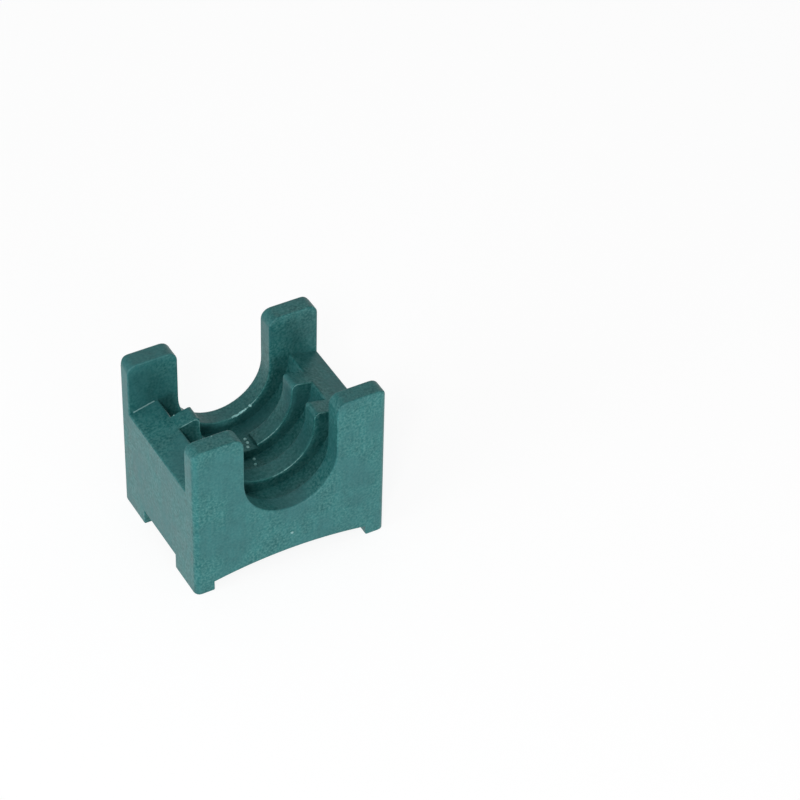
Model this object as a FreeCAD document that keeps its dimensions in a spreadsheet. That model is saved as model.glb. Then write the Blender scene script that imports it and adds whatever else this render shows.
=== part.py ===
# Saddle of a clamp for one hydraulic tube, moulded in one piece.
#
# Frame: X runs across the plates, Y runs along the tube, Z points up.
# The origin is on the floor that the four feet stand on, midway between them.
# All sizes are in millimetres and all angles in degrees.
import FreeCAD, Part
import math
import os
import Sketcher

PARTS_DIR = "parts"
NODE_NAME = "clamp_saddle"
SHEET_NAME = "Dimensions"

# Every size that can be set by itself. The sheet holds each under its name.
DRIVING_SIZES = {
    # Outer block
    "plate_width": 38.4,
    "body_depth": 30.0,
    "body_height": 34.0,
    "corner_radius": 1.15,
    "edge_bevel": 0.25,
    # Tube, and the slot that it is pressed into
    "tube_diameter": 18.0,
    "tube_clearance": 0.25,
    "axis_height": 22.9,
    # End plates with their prongs
    "plate_thickness": 3.6,
    "prong_outer_radius": 1.8,
    "prong_inner_radius": 2.0,
    # Side walls, with tops that rise towards the tube
    "side_wall": 5.9,
    "shoulder_angle": 14.0,
    "shoulder_edge_radius": 0.3,
    "wall_top_bevel": 0.55,
    # Cross ribs, and the bays between them
    "rib_count": 2,
    "rib_thickness": 3.6,
    "rib_bevel": 0.3,
    "bay_depth": 2.5,
    # Feet, and the relief under the block
    "foot_width": 3.8,
    "foot_length": 8.6,
    "arch_end_height": 2.0,
    "arch_rise": 1.45,
    "foot_gap_height": 3.15,
}

# Sizes that follow from the driving ones, as formulas of the sheet.
DERIVED_SIZES = {
    "seat_radius": "tube_diameter / 2 + tube_clearance",
    "bay_half_width": "plate_width / 2 - side_wall",
    "bay_gap": "(body_depth - 2 * plate_thickness - rib_count * rib_thickness) / (rib_count + 1)",
    "bay_pitch": "bay_gap + rib_thickness",
    "wall_top_height": "axis_height + side_wall * tan(shoulder_angle * 1 deg)",
    "bay_centre_height": "axis_height - seat_radius - bay_depth + bay_half_width",
    "first_bay_place": "body_depth / 2 - plate_thickness - bay_gap / 2",
    "shoulder_gap": "body_depth - 2 * plate_thickness",
    "arch_half_width": "plate_width / 2 - foot_width",
    "arch_radius": "(arch_half_width ^ 2 + arch_rise ^ 2) / (2 * arch_rise)",
    "foot_gap": "body_depth - 2 * foot_length",
}

# Places of a point on a sketch's edge, and the sketch's own origin and axes
START, END, CENTRE = 1, 2, 3
ORIGIN = (-1, 1)
ACROSS_AXIS = -1
UP_AXIS = -2

# Numbers of the directions in a point
X_AXIS, Y_AXIS = 0, 1
TOLERANCE = 1e-4


def make_sheet(doc):
    """Write the sizes into the sheet, one row each, and return the sheet."""
    sheet = doc.addObject("Spreadsheet::Sheet", SHEET_NAME)
    row = 1
    for name, value in list(DRIVING_SIZES.items()) + list(DERIVED_SIZES.items()):
        formula = f"={value}" if isinstance(value, str) else str(value)
        sheet.set(f"A{row}", name)
        sheet.set(f"B{row}", formula)
        sheet.setAlias(f"B{row}", name)
        row += 1
    doc.recompute()
    return sheet


def origin_plane(body, role):
    """Return one of the body's own origin planes."""
    for feature in body.Origin.OriginFeatures:
        if feature.Role == role:
            return feature
    raise ValueError(f"the body has no {role}")


def new_sketch(body, name, role):
    """Start an empty sketch on one of the body's origin planes."""
    sketch = body.newObject("Sketcher::SketchObject", name)
    sketch.Label = name
    sketch.AttachmentSupport = [(origin_plane(body, role), "")]
    sketch.MapMode = "FlatFace"
    return sketch


def line(sketch, start, end):
    """Add a straight edge and return its number."""
    first = FreeCAD.Vector(start[0], start[1], 0)
    second = FreeCAD.Vector(end[0], end[1], 0)
    return sketch.addGeometry(Part.LineSegment(first, second), False)


def arc(sketch, centre, radius, from_angle, to_angle):
    """Add an arc that turns anticlockwise and return its number."""
    middle = FreeCAD.Vector(centre[0], centre[1], 0)
    circle = Part.Circle(middle, FreeCAD.Vector(0, 0, 1), radius)
    start = math.radians(from_angle)
    stop = math.radians(to_angle)
    return sketch.addGeometry(Part.ArcOfCircle(circle, start, stop), False)


def bind(sketch, kind, where, value, formula):
    """Add a size to a sketch and tie it to a formula of the sheet."""
    number = sketch.addConstraint(Sketcher.Constraint(kind, *where, value))
    sketch.setExpression(f"Constraints[{number}]", formula)


def rule(sketch, kind, *where):
    """Add a rule without a size, such as Horizontal, Tangent or Symmetric."""
    sketch.addConstraint(Sketcher.Constraint(kind, *where))


def cell(name):
    """Return the formula that reads one cell of the sheet."""
    return f"{SHEET_NAME}.{name}"


def draw_outline(body, size):
    """Sketch the whole block as seen along the tube, and return the sketch."""
    sketch = new_sketch(body, "Outline", "XZ_Plane")
    half = size.plate_width / 2
    top = size.body_height
    outer = size.prong_outer_radius
    inner = size.prong_inner_radius
    seat = size.seat_radius
    axis = size.axis_height
    foot = half - size.foot_width
    spring = size.arch_end_height
    swing = math.degrees(math.asin(foot / size.arch_radius))
    arch_centre = (0, spring + size.arch_rise - size.arch_radius)

    right_foot = line(sketch, (foot, 0), (half, 0))
    right_side = line(sketch, (half, 0), (half, top - outer))
    right_outer = arc(sketch, (half - outer, top - outer), outer, 0, 90)
    right_top = line(sketch, (half - outer, top), (seat + inner, top))
    right_inner = arc(sketch, (seat + inner, top - inner), inner, 90, 180)
    right_slot = line(sketch, (seat, top - inner), (seat, axis))
    seat_arc = arc(sketch, (0, axis), seat, 180, 360)
    left_slot = line(sketch, (-seat, axis), (-seat, top - inner))
    left_inner = arc(sketch, (-seat - inner, top - inner), inner, 0, 90)
    left_top = line(sketch, (-seat - inner, top), (outer - half, top))
    left_outer = arc(sketch, (outer - half, top - outer), outer, 90, 180)
    left_side = line(sketch, (-half, top - outer), (-half, 0))
    left_foot = line(sketch, (-half, 0), (-foot, 0))
    left_step = line(sketch, (-foot, 0), (-foot, spring))
    arch = arc(sketch, arch_centre, size.arch_radius, 90 - swing, 90 + swing)
    right_step = line(sketch, (foot, spring), (foot, 0))

    for edge in (right_foot, right_top, left_top, left_foot):
        rule(sketch, "Horizontal", edge)
    for edge in (right_side, right_slot, left_slot, left_side, left_step, right_step):
        rule(sketch, "Vertical", edge)
    smooth_joints = (
        (right_side, END, right_outer, START),
        (right_outer, END, right_top, START),
        (right_top, END, right_inner, START),
        (right_inner, END, right_slot, START),
        (right_slot, END, seat_arc, END),
        (seat_arc, START, left_slot, START),
        (left_slot, END, left_inner, START),
        (left_inner, END, left_top, START),
        (left_top, END, left_outer, START),
        (left_outer, END, left_side, START),
    )
    for joint in smooth_joints:
        rule(sketch, "Tangent", *joint)
    sharp_joints = (
        (left_side, END, left_foot, START),
        (left_foot, END, left_step, START),
        (left_step, END, arch, END),
        (arch, START, right_step, START),
        (right_step, END, right_foot, START),
        (right_foot, END, right_side, START),
    )
    for joint in sharp_joints:
        rule(sketch, "Coincident", *joint)

    rule(sketch, "PointOnObject", right_foot, END, ACROSS_AXIS)
    rule(sketch, "Symmetric", left_foot, START, right_foot, END, UP_AXIS)
    rule(sketch, "Equal", right_foot, left_foot)
    rule(sketch, "Equal", right_step, left_step)
    rule(sketch, "Equal", right_outer, left_outer)
    rule(sketch, "Equal", right_inner, left_inner)
    rule(sketch, "PointOnObject", seat_arc, CENTRE, UP_AXIS)
    bind(sketch, "DistanceX", (left_foot, START, right_foot, END), 2 * half, cell("plate_width"))
    bind(sketch, "DistanceX", (right_foot, START, right_foot, END), half - foot, cell("foot_width"))
    bind(sketch, "DistanceY", (right_step, END, right_step, START), spring, cell("arch_end_height"))
    bind(sketch, "DistanceY", (*ORIGIN, right_top, START), top, cell("body_height"))
    bind(sketch, "DistanceY", (*ORIGIN, left_top, START), top, cell("body_height"))
    bind(sketch, "DistanceY", (*ORIGIN, seat_arc, CENTRE), axis, cell("axis_height"))
    bind(sketch, "Radius", (right_outer,), outer, cell("prong_outer_radius"))
    bind(sketch, "Radius", (right_inner,), inner, cell("prong_inner_radius"))
    bind(sketch, "Radius", (seat_arc,), seat, cell("seat_radius"))
    bind(sketch, "Radius", (arch,), size.arch_radius, cell("arch_radius"))
    return sketch


def draw_shoulder_gap(body, size):
    """Sketch the space above the sloping shoulders, and return the sketch."""
    sketch = new_sketch(body, "ShoulderGap", "XZ_Plane")
    half = size.plate_width / 2
    top = size.body_height
    low = size.axis_height
    peak = low + half * math.tan(math.radians(size.shoulder_angle))

    left_slope = line(sketch, (-half, low), (0, peak))
    right_slope = line(sketch, (0, peak), (half, low))
    right_edge = line(sketch, (half, low), (half, top))
    top_edge = line(sketch, (half, top), (-half, top))
    left_edge = line(sketch, (-half, top), (-half, low))
    loop = (left_slope, right_slope, right_edge, top_edge, left_edge)
    for edge, following in zip(loop, loop[1:] + loop[:1]):
        rule(sketch, "Coincident", edge, END, following, START)

    rule(sketch, "Vertical", right_edge)
    rule(sketch, "Vertical", left_edge)
    rule(sketch, "Horizontal", top_edge)
    rule(sketch, "PointOnObject", left_slope, END, UP_AXIS)
    rule(sketch, "Symmetric", left_slope, START, right_slope, END, UP_AXIS)
    bind(sketch, "DistanceX", (left_slope, START, right_slope, END), 2 * half, cell("plate_width"))
    bind(sketch, "DistanceY", (*ORIGIN, right_slope, END), low, cell("axis_height"))
    bind(sketch, "DistanceY", (*ORIGIN, right_edge, END), top, cell("body_height"))
    bind(
        sketch,
        "Angle",
        (ACROSS_AXIS, START, left_slope, START),
        math.radians(size.shoulder_angle),
        f"{cell('shoulder_angle')} * 1 deg",
    )
    return sketch


def draw_bay(body, size):
    """Sketch the section of one bay, round at its floor, and return it."""
    sketch = new_sketch(body, "BaySection", "XZ_Plane")
    half = size.bay_half_width
    centre = size.bay_centre_height
    top = size.body_height

    flare_start = size.wall_top_height - size.wall_top_bevel
    drop = centre - flare_start
    mouth = math.sqrt(half**2 - drop**2)
    tilt = math.degrees(math.asin(drop / half))
    wide = half + top - flare_start

    left_flare = line(sketch, (-wide, top), (-mouth, flare_start))
    floor = arc(sketch, (0, centre), half, 180 + tilt, 360 - tilt)
    right_flare = line(sketch, (mouth, flare_start), (wide, top))
    lid = line(sketch, (wide, top), (-wide, top))
    rule(sketch, "Coincident", left_flare, END, floor, START)
    rule(sketch, "Coincident", floor, END, right_flare, START)
    rule(sketch, "Coincident", right_flare, END, lid, START)
    rule(sketch, "Coincident", lid, END, left_flare, START)
    rule(sketch, "PointOnObject", floor, CENTRE, UP_AXIS)
    rule(sketch, "Symmetric", left_flare, START, right_flare, END, UP_AXIS)
    flare_formula = f"{cell('wall_top_height')} - {cell('wall_top_bevel')}"
    wide_formula = f"{cell('bay_half_width')} + {cell('body_height')} - ({flare_formula})"
    bind(sketch, "Radius", (floor,), half, cell("bay_half_width"))
    bind(sketch, "DistanceY", (*ORIGIN, floor, CENTRE), centre, cell("bay_centre_height"))
    bind(sketch, "DistanceY", (*ORIGIN, floor, START), flare_start, flare_formula)
    bind(sketch, "DistanceY", (*ORIGIN, floor, END), flare_start, flare_formula)
    bind(sketch, "DistanceX", (*ORIGIN, right_flare, END), wide, wide_formula)
    bind(sketch, "DistanceY", (*ORIGIN, lid, START), top, cell("body_height"))
    sketch.setExpression("AttachmentOffset.Base.z", cell("first_bay_place"))
    return sketch


def draw_rectangle(sketch, low, high):
    """Add a rectangle by two corners and return its bottom, right, top and left."""
    bottom = line(sketch, (low[0], low[1]), (high[0], low[1]))
    right = line(sketch, (high[0], low[1]), (high[0], high[1]))
    top = line(sketch, (high[0], high[1]), (low[0], high[1]))
    left = line(sketch, (low[0], high[1]), (low[0], low[1]))
    loop = (bottom, right, top, left)
    for edge, following in zip(loop, loop[1:] + loop[:1]):
        rule(sketch, "Coincident", edge, END, following, START)
    rule(sketch, "Horizontal", bottom)
    rule(sketch, "Horizontal", top)
    rule(sketch, "Vertical", right)
    rule(sketch, "Vertical", left)
    return loop


def draw_foot_gap(body, size):
    """Sketch the opening between the feet, as seen from the side."""
    sketch = new_sketch(body, "FootGap", "YZ_Plane")
    half = size.foot_gap / 2
    rise = size.foot_gap_height
    bottom, right, top, left = draw_rectangle(sketch, (-half, 0), (half, rise))
    rule(sketch, "PointOnObject", bottom, START, ACROSS_AXIS)
    bind(sketch, "DistanceX", (*ORIGIN, bottom, END), half, f"{cell('foot_gap')} / 2")
    bind(sketch, "DistanceX", (bottom, START, bottom, END), 2 * half, cell("foot_gap"))
    bind(sketch, "DistanceY", (right, START, right, END), rise, cell("foot_gap_height"))
    return sketch


def draw_corner_rounding(body, size):
    """Sketch, in plan, all that lies outside the block's rounded corners."""
    sketch = new_sketch(body, "CornerRounding", "XY_Plane")
    wide = size.plate_width / 2
    deep = size.body_depth / 2
    radius = size.corner_radius
    front = line(sketch, (radius - wide, -deep), (wide - radius, -deep))
    front_right = arc(sketch, (wide - radius, radius - deep), radius, 270, 360)
    right = line(sketch, (wide, radius - deep), (wide, deep - radius))
    back_right = arc(sketch, (wide - radius, deep - radius), radius, 0, 90)
    back = line(sketch, (wide - radius, deep), (radius - wide, deep))
    back_left = arc(sketch, (radius - wide, deep - radius), radius, 90, 180)
    left = line(sketch, (-wide, deep - radius), (-wide, radius - deep))
    front_left = arc(sketch, (radius - wide, radius - deep), radius, 180, 270)
    loop = (front, front_right, right, back_right, back, back_left, left, front_left)
    for edge, following in zip(loop, loop[1:] + loop[:1]):
        rule(sketch, "Tangent", edge, END, following, START)
    rule(sketch, "Horizontal", front)
    rule(sketch, "Vertical", right)
    rule(sketch, "Horizontal", back)
    rule(sketch, "Vertical", left)
    for corner in (back_right, back_left, front_left):
        rule(sketch, "Equal", front_right, corner)
    rule(sketch, "Symmetric", front_left, CENTRE, back_right, CENTRE, *ORIGIN)
    bind(sketch, "Radius", (front_right,), radius, cell("corner_radius"))
    bind(sketch, "DistanceX", (left, START, right, START), 2 * wide, cell("plate_width"))
    bind(sketch, "DistanceY", (front, START, back, START), 2 * deep, cell("body_depth"))

    bottom, side, top, far_side = draw_rectangle(
        sketch, (-wide - radius, -deep - radius), (wide + radius, deep + radius)
    )
    outer_width = f"{cell('plate_width')} + 2 * {cell('corner_radius')}"
    outer_depth = f"{cell('body_depth')} + 2 * {cell('corner_radius')}"
    rule(sketch, "Symmetric", bottom, START, top, START, *ORIGIN)
    bind(sketch, "DistanceX", (bottom, START, bottom, END), 2 * (wide + radius), outer_width)
    bind(sketch, "DistanceY", (side, START, side, END), 2 * (deep + radius), outer_depth)
    return sketch


def extrude(body, kind, name, sketch, formula):
    """Pad or pocket a sketch to both sides of its plane and return the feature."""
    feature = body.newObject(kind, name)
    feature.Label = name
    feature.Profile = sketch
    feature.Type = "Length"
    feature.SideType = "Symmetric"
    feature.setExpression("Length", formula)
    sketch.Visibility = False
    body.Document.recompute()
    return feature


def pocket(body, name, sketch, formula):
    """Cut a sketch out of the body and test that it took some material away."""
    before = body.Tip.Shape.Volume
    feature = extrude(body, "PartDesign::Pocket", name, sketch, formula)
    if feature.Shape.Volume >= before:
        raise ValueError(f"{name} cuts nothing")
    return feature


def repeat_bay(body, bay):
    """Repeat the bay along the tube, one more time than there are ribs."""
    pattern = body.newObject("PartDesign::LinearPattern", "Bays")
    pattern.Label = "Bays"
    pattern.Originals = [bay]
    pattern.Direction = (origin_plane(body, "Y_Axis"), [""])
    pattern.Mode = "Extent"
    pattern.setExpression("Length", f"{cell('bay_pitch')} * {cell('rib_count')}")
    pattern.setExpression("Occurrences", f"{cell('rib_count')} + 1")
    body.Tip = pattern
    body.Document.recompute()
    return pattern


def dress_edges(body, kind, name, chosen, sized, formula):
    """Bevel or round the edges that the test named chosen picks.

    sized is the feature's own name for its size, and formula is what the size is tied to.
    """
    base = body.Tip
    names = []
    for number, edge in enumerate(base.Shape.Edges, start=1):
        if not edge.Degenerated and chosen(edge):
            names.append(f"Edge{number}")
    feature = body.newObject(kind, name)
    feature.Label = name
    feature.Base = (base, names)
    feature.setExpression(sized, formula)
    body.Document.recompute()
    return feature


def bevel(body, name, chosen, formula):
    """Bevel the edges that the test named chosen picks, and return the feature."""
    return dress_edges(body, "PartDesign::Chamfer", name, chosen, "Size", formula)


def round_off(body, name, chosen, formula):
    """Round the edges that the test named chosen picks, and return the feature."""
    return dress_edges(body, "PartDesign::Fillet", name, chosen, "Radius", formula)


def same(first, second):
    """Tell whether two lengths are equal but for rounding errors."""
    return abs(first - second) < TOLERANCE


def spans(edge, axis):
    """Tell whether an edge's ends differ in their place along an axis."""
    return not same(edge.Vertexes[0].Point[axis], edge.Vertexes[-1].Point[axis])


def is_line(edge):
    """Tell whether an edge is straight."""
    return edge.Curve.TypeId == "Part::GeomLine"


def is_arc(edge, radius):
    """Tell whether an edge is part of a circle of one radius."""
    return edge.Curve.TypeId == "Part::GeomCircle" and same(edge.Curve.Radius, radius)


def is_between_plates(edge, size):
    """Tell whether an edge lies clear of both end plates."""
    inner_face = size.body_depth / 2 - size.plate_thickness
    return all(abs(vertex.Y) < inner_face - TOLERANCE for vertex in edge.Vertexes)


def is_on_shoulder(edge, size):
    """Tell whether an edge is straight and lies on a sloping shoulder."""
    slope = math.tan(math.radians(size.shoulder_angle))
    for vertex in edge.Vertexes:
        inward = size.plate_width / 2 - abs(vertex.X)
        if not same(vertex.Z, size.axis_height + slope * inward):
            return False
    return is_line(edge)


def is_prong_top(edge, size):
    """Tell whether an edge runs across the top of a prong."""
    level = all(same(vertex.Z, size.body_height) for vertex in edge.Vertexes)
    return level and is_line(edge) and spans(edge, X_AXIS)


def is_rib_edge(edge, size):
    """Tell whether an edge bounds the seat or the top of a rib."""
    seat = is_arc(edge, size.seat_radius) and is_between_plates(edge, size)
    if seat or not is_on_shoulder(edge, size):
        return seat
    crest = spans(edge, Y_AXIS) and same(abs(edge.Vertexes[0].X), size.seat_radius)
    top = spans(edge, X_AXIS) and is_between_plates(edge, size)
    return crest or top


def is_outer_shoulder(edge, size):
    """Tell whether an edge is where a shoulder meets the outside of its wall."""
    outside = all(same(abs(vertex.X), size.plate_width / 2) for vertex in edge.Vertexes)
    return outside and is_on_shoulder(edge, size) and spans(edge, Y_AXIS)


def build_saddle(doc, size):
    """Model the saddle and return its body."""
    body = doc.addObject("PartDesign::Body", "ClampSaddle")
    body.Label = NODE_NAME

    # The block, its cradle and the relief under it
    extrude(body, "PartDesign::Pad", "Block", draw_outline(body, size), cell("body_depth"))
    pocket(body, "Shoulders", draw_shoulder_gap(body, size), cell("shoulder_gap"))
    bay = pocket(body, "Bay", draw_bay(body, size), cell("bay_gap"))
    repeat_bay(body, bay)
    pocket(body, "FootGaps", draw_foot_gap(body, size), cell("plate_width"))

    # The beveled and rounded edges, those at the plan corners last
    bevel(body, "PlateEdges", lambda edge: is_prong_top(edge, size), cell("edge_bevel"))
    bevel(body, "RibEdges", lambda edge: is_rib_edge(edge, size), cell("rib_bevel"))
    shoulder_edge = cell("shoulder_edge_radius")
    round_off(body, "ShoulderEdges", lambda edge: is_outer_shoulder(edge, size), shoulder_edge)
    rounding = draw_corner_rounding(body, size)
    pocket(body, "Corners", rounding, f"2 * {cell('body_height')}")
    return body


def main():
    """Build the document, check it, and write the saddle as a STEP file."""
    os.makedirs(PARTS_DIR, exist_ok=True)
    doc = FreeCAD.newDocument("TubeClampSaddle")
    sheet = make_sheet(doc)
    body = build_saddle(doc, sheet)
    doc.recompute()
    for item in doc.Objects:
        if "Invalid" in item.State or "Error" in item.State:
            raise ValueError(f"{item.Label} could not be made: {item.State}")
    shape = body.Shape
    if shape.isNull() or not shape.isValid():
        raise ValueError(f"{body.Label} is not a valid solid")
    shape.exportStep(os.path.join(PARTS_DIR, f"{body.Label}.step"))
    box = shape.optimalBoundingBox()
    print(f"{body.Label}: {len(shape.Solids)} solid, {shape.Volume:.1f} mm3")
    print(f"box {box.XLength:.2f} x {box.YLength:.2f} x {box.ZLength:.2f} mm")


main()
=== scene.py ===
"""Looks of a moulded saddle that clamps one hydraulic tube.

The saddle is one moulding in green plastic. Geometry Nodes make it from its
named sizes, and small moulding marks lie on it, some of them in plastic that is
painted paler as a highlight. Every length in the classes is in millimetres, and
the meshes are in metres.
"""

import logging
import math
from dataclasses import dataclass, field, fields
from enum import Enum
from typing import Callable, Sequence, Union

import bpy
from mathutils import Matrix, Vector


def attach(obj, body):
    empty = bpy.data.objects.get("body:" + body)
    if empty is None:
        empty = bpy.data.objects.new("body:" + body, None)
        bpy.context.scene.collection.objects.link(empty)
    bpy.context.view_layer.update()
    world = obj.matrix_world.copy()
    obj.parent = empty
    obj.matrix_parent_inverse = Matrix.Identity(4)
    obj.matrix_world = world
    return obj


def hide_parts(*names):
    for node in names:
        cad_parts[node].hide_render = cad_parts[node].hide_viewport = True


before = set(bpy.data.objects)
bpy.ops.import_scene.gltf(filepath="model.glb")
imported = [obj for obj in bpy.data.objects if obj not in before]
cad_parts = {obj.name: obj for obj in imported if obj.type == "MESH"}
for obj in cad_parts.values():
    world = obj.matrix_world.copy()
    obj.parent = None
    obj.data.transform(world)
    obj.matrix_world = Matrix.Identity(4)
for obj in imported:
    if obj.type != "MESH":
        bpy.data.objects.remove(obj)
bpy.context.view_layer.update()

LOG = logging.getLogger("tube_clamp")
BODY = "root"
CAD_NODE = "clamp_saddle"
MM = 0.001
MERGE_DISTANCE = 8e-6
BEVEL_ATTRIBUTE = "bevel_weight_edge"
QUARTER_TURN = (math.pi / 2, 0.0, 0.0)

# How far a cutting shape reaches past what it cuts, as a share of that
CUTTER_REACH = 1.5
FAR_CUTTER_REACH = 2.0
RECESS_REACH = 1.2

# The box that keeps the arch's part of a drum, as shares of the drum's depth and the
# arch's height
WINDOW_DEPTH = 0.9
WINDOW_HEIGHT = 4.0

# What tells the rounded edges apart: how straight they run, and the shares of the
# saddle's sizes that they lie within
ALIGNED = 0.9
WALL_TOP_BAND = 1.9
CREST_BAND = 1.2
RECESS_BAND = 0.55

Value = Union["Wire", float, int, bool, str, tuple, list]
Colour = tuple[float, float, float]
Place = tuple[float, float, float]
WHITE: Colour = (1.0, 1.0, 1.0)

SOCKET_KINDS = {
    float: "NodeSocketFloat",
    int: "NodeSocketInt",
    tuple: "NodeSocketVector",
    type(None): "NodeSocketGeometry",
    bpy.types.Material: "NodeSocketMaterial",
}


class Solver(Enum):
    """What a boolean node does with its two solids."""

    CUT = "DIFFERENCE"
    KEEP = "INTERSECT"


class Light(Enum):
    """The soft boxes of the studio."""

    FRONT = "front_box"
    LEFT = "left_box"
    TOP = "top_box"
    SPARK = "spark_box"


def arithmetic(operation: str, swapped: bool = False) -> Callable[..., "Wire"]:
    """Make a method that works out one step of arithmetic on a wire.

    Args:
        operation: Blender's name for the operation.
        swapped: Whether the other number comes first.

    Returns:
        The method.
    """

    def method(wire: "Wire", other: Value = 0.0) -> "Wire":
        """Work out the step and return its result."""
        first, second = (other, wire) if swapped else (wire, other)
        return wire.graph.sum(operation, first, second)

    return method


class Wire:
    """An output socket of a node. Wires that carry numbers work in plain arithmetic.

    The comparisons give 1 where they hold and 0 elsewhere.
    """

    def __init__(self, graph: "Graph", socket: bpy.types.NodeSocket) -> None:
        """Keep the tree under construction and the socket in it."""
        self.graph = graph
        self.socket = socket

    def __neg__(self) -> "Wire":
        """Turn this number's sign round."""
        return self * -1.0

    __add__ = arithmetic("ADD")
    __sub__ = arithmetic("SUBTRACT")
    __rsub__ = arithmetic("SUBTRACT", swapped=True)
    __mul__ = arithmetic("MULTIPLY")
    __truediv__ = arithmetic("DIVIDE")
    __rtruediv__ = arithmetic("DIVIDE", swapped=True)
    __pow__ = arithmetic("POWER")
    __abs__ = arithmetic("ABSOLUTE")
    __gt__ = arithmetic("GREATER_THAN")
    __lt__ = arithmetic("LESS_THAN")


class Graph:
    """A node tree under construction, with short calls that add and join nodes."""

    def __init__(self, tree: bpy.types.NodeTree, values: dict | None = None) -> None:
        """Start with a tree.

        Args:
            tree: The geometry or shader tree to fill.
            values: What the tree's own inputs can be, by name. An input is made
                when it is first asked for, and geometry has to be the first one.
        """
        self.tree = tree
        self.values = values or {}
        self.inputs: dict[str, Wire] = {}

    def __getitem__(self, name: str) -> Wire:
        """Give one of the tree's own inputs.

        Args:
            name: The input's name.

        Returns:
            The wire from the tree's input.
        """
        if name not in self.inputs:
            value = self.values[name]
            kind = SOCKET_KINDS[type(value)]
            socket = self.tree.interface.new_socket(name, in_out="INPUT", socket_type=kind)
            if value is not None:
                socket.default_value = value
            self.inputs[name] = self.get("NodeGroupInput", out=name)
        return self.inputs[name]

    def add(self, kind: str, inputs: dict | None = None, **settings: object) -> bpy.types.Node:
        """Add a node.

        Args:
            kind: Blender's name for the node's type.
            inputs: Values or wires for the node's inputs, by name or number.
            **settings: Values for the node's own options.

        Returns:
            The new node.
        """
        node = self.tree.nodes.new(kind)
        for name, value in settings.items():
            setattr(node, name, value)
        for key, value in (inputs or {}).items():
            self.feed(node.inputs[key], value)
        return node

    def get(
        self, kind: str, inputs: dict | None = None, out: str | int = 0, **settings: object
    ) -> Wire:
        """Add a node and return the wire from its output called out."""
        return Wire(self, self.add(kind, inputs, **settings).outputs[out])

    def wires(self, kind: str, inputs: dict | None = None, **settings: object) -> dict[str, Wire]:
        """Add a node and return the wires from all its outputs, by name."""
        outputs = self.add(kind, inputs, **settings).outputs
        return {socket.name: Wire(self, socket) for socket in outputs}

    def feed(self, socket: bpy.types.NodeSocket, value: Value) -> None:
        """Set a socket to a value, or join it to one or more wires.

        Args:
            socket: The input that is set.
            value: A plain value, a wire or a list of wires.
        """
        for item in value if isinstance(value, list) else [value]:
            if isinstance(item, Wire):
                self.tree.links.new(item.socket, socket)
            else:
                socket.default_value = item

    def sum(self, operation: str, first: Value, second: Value = 0.0) -> Wire:
        """Work out one step of arithmetic on one or two numbers."""
        return self.get("ShaderNodeMath", {0: first, 1: second}, operation=operation)

    def most(self, first: Value, second: Value) -> Wire:
        """Give the larger of two numbers."""
        return self.sum("MAXIMUM", first, second)

    def vector(self, operation: str, inputs: dict, out: str | int = 0) -> Wire:
        """Work out one step of arithmetic on vectors."""
        return self.get("ShaderNodeVectorMath", inputs, out, operation=operation)

    def point(self, across: Value, along: Value, up: Value) -> Wire:
        """Join three numbers into a vector."""
        return self.get("ShaderNodeCombineXYZ", {0: across, 1: along, 2: up})

    def split(self, vector: Wire) -> dict[str, Wire]:
        """Split a vector into its numbers X, Y and Z."""
        return self.wires("ShaderNodeSeparateXYZ", {0: vector})

    def spread(
        self,
        value: Wire,
        given: Sequence[float],
        wanted: Sequence[float] = (0.0, 1.0),
        **settings: object,
    ) -> Wire:
        """Map one range of numbers onto another.

        Args:
            value: The number.
            given: The ends of the range that it comes in.
            wanted: The ends of the range that it is mapped onto and kept within.
            **settings: Values for the node's own options.

        Returns:
            The mapped number.
        """
        names = ("Value", "From Min", "From Max", "To Min", "To Max")
        inputs = dict(zip(names, (value, *given, *wanted)))
        return self.get("ShaderNodeMapRange", inputs, **settings)

    def mix(self, share: Value, first: Value, second: Value) -> Wire:
        """Mix two colours.

        Args:
            share: How much of the second colour there is.
            first: The first colour, as a wire or plain.
            second: The second colour, as a wire or plain.

        Returns:
            The mixed colour.
        """
        colours = [item if isinstance(item, Wire) else (*item, 1.0) for item in (first, second)]
        inputs = {"Factor": share, 6: colours[0], 7: colours[1]}
        return self.get("ShaderNodeMix", inputs, 2, data_type="RGBA")

    def pick(self, kind: str, number: Wire, choices: Sequence[Value]) -> Wire:
        """Pick one of several values by a point's number.

        Args:
            kind: The values' type.
            number: The point's number.
            choices: The values in order.

        Returns:
            The picked value.
        """
        node = self.add("GeometryNodeIndexSwitch", {"Index": number}, data_type=kind)
        while len(node.index_switch_items) < len(choices):
            node.index_switch_items.new()
        for place, choice in enumerate(choices, start=1):
            self.feed(node.inputs[place], choice)
        return Wire(self, node.outputs[0])

    def rounded_path(
        self, corners: Sequence[Wire], radii: Sequence[Value], steps: Value, closed: bool
    ) -> Wire:
        """Make a curve through corners that are rounded, each with its own radius.

        Args:
            corners: The corners' places.
            radii: The radius at each corner.
            steps: The number of steps in each rounded corner.
            closed: Whether the curve runs back to its start.

        Returns:
            The curve.
        """
        line = self.get("GeometryNodeMeshLine", {"Count": len(corners)})
        number = self.get("GeometryNodeInputIndex")
        place = self.pick("VECTOR", number, corners)
        moved = self.get("GeometryNodeSetPosition", {"Geometry": line, "Position": place})
        curve = self.get("GeometryNodeMeshToCurve", {"Mesh": moved})
        loop = self.get("GeometryNodeSetSplineCyclic", {"Geometry": curve, "Cyclic": closed})
        fillet = {"Curve": loop, "Radius": self.pick("FLOAT", number, radii), "Count": steps}
        return self.get("GeometryNodeFilletCurve", fillet, mode="POLY")

    def straight_path(self, start: Wire, end: Wire) -> Wire:
        """Make a straight curve from one point to another."""
        return self.get("GeometryNodeCurvePrimitiveLine", {"Start": start, "End": end})

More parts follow.
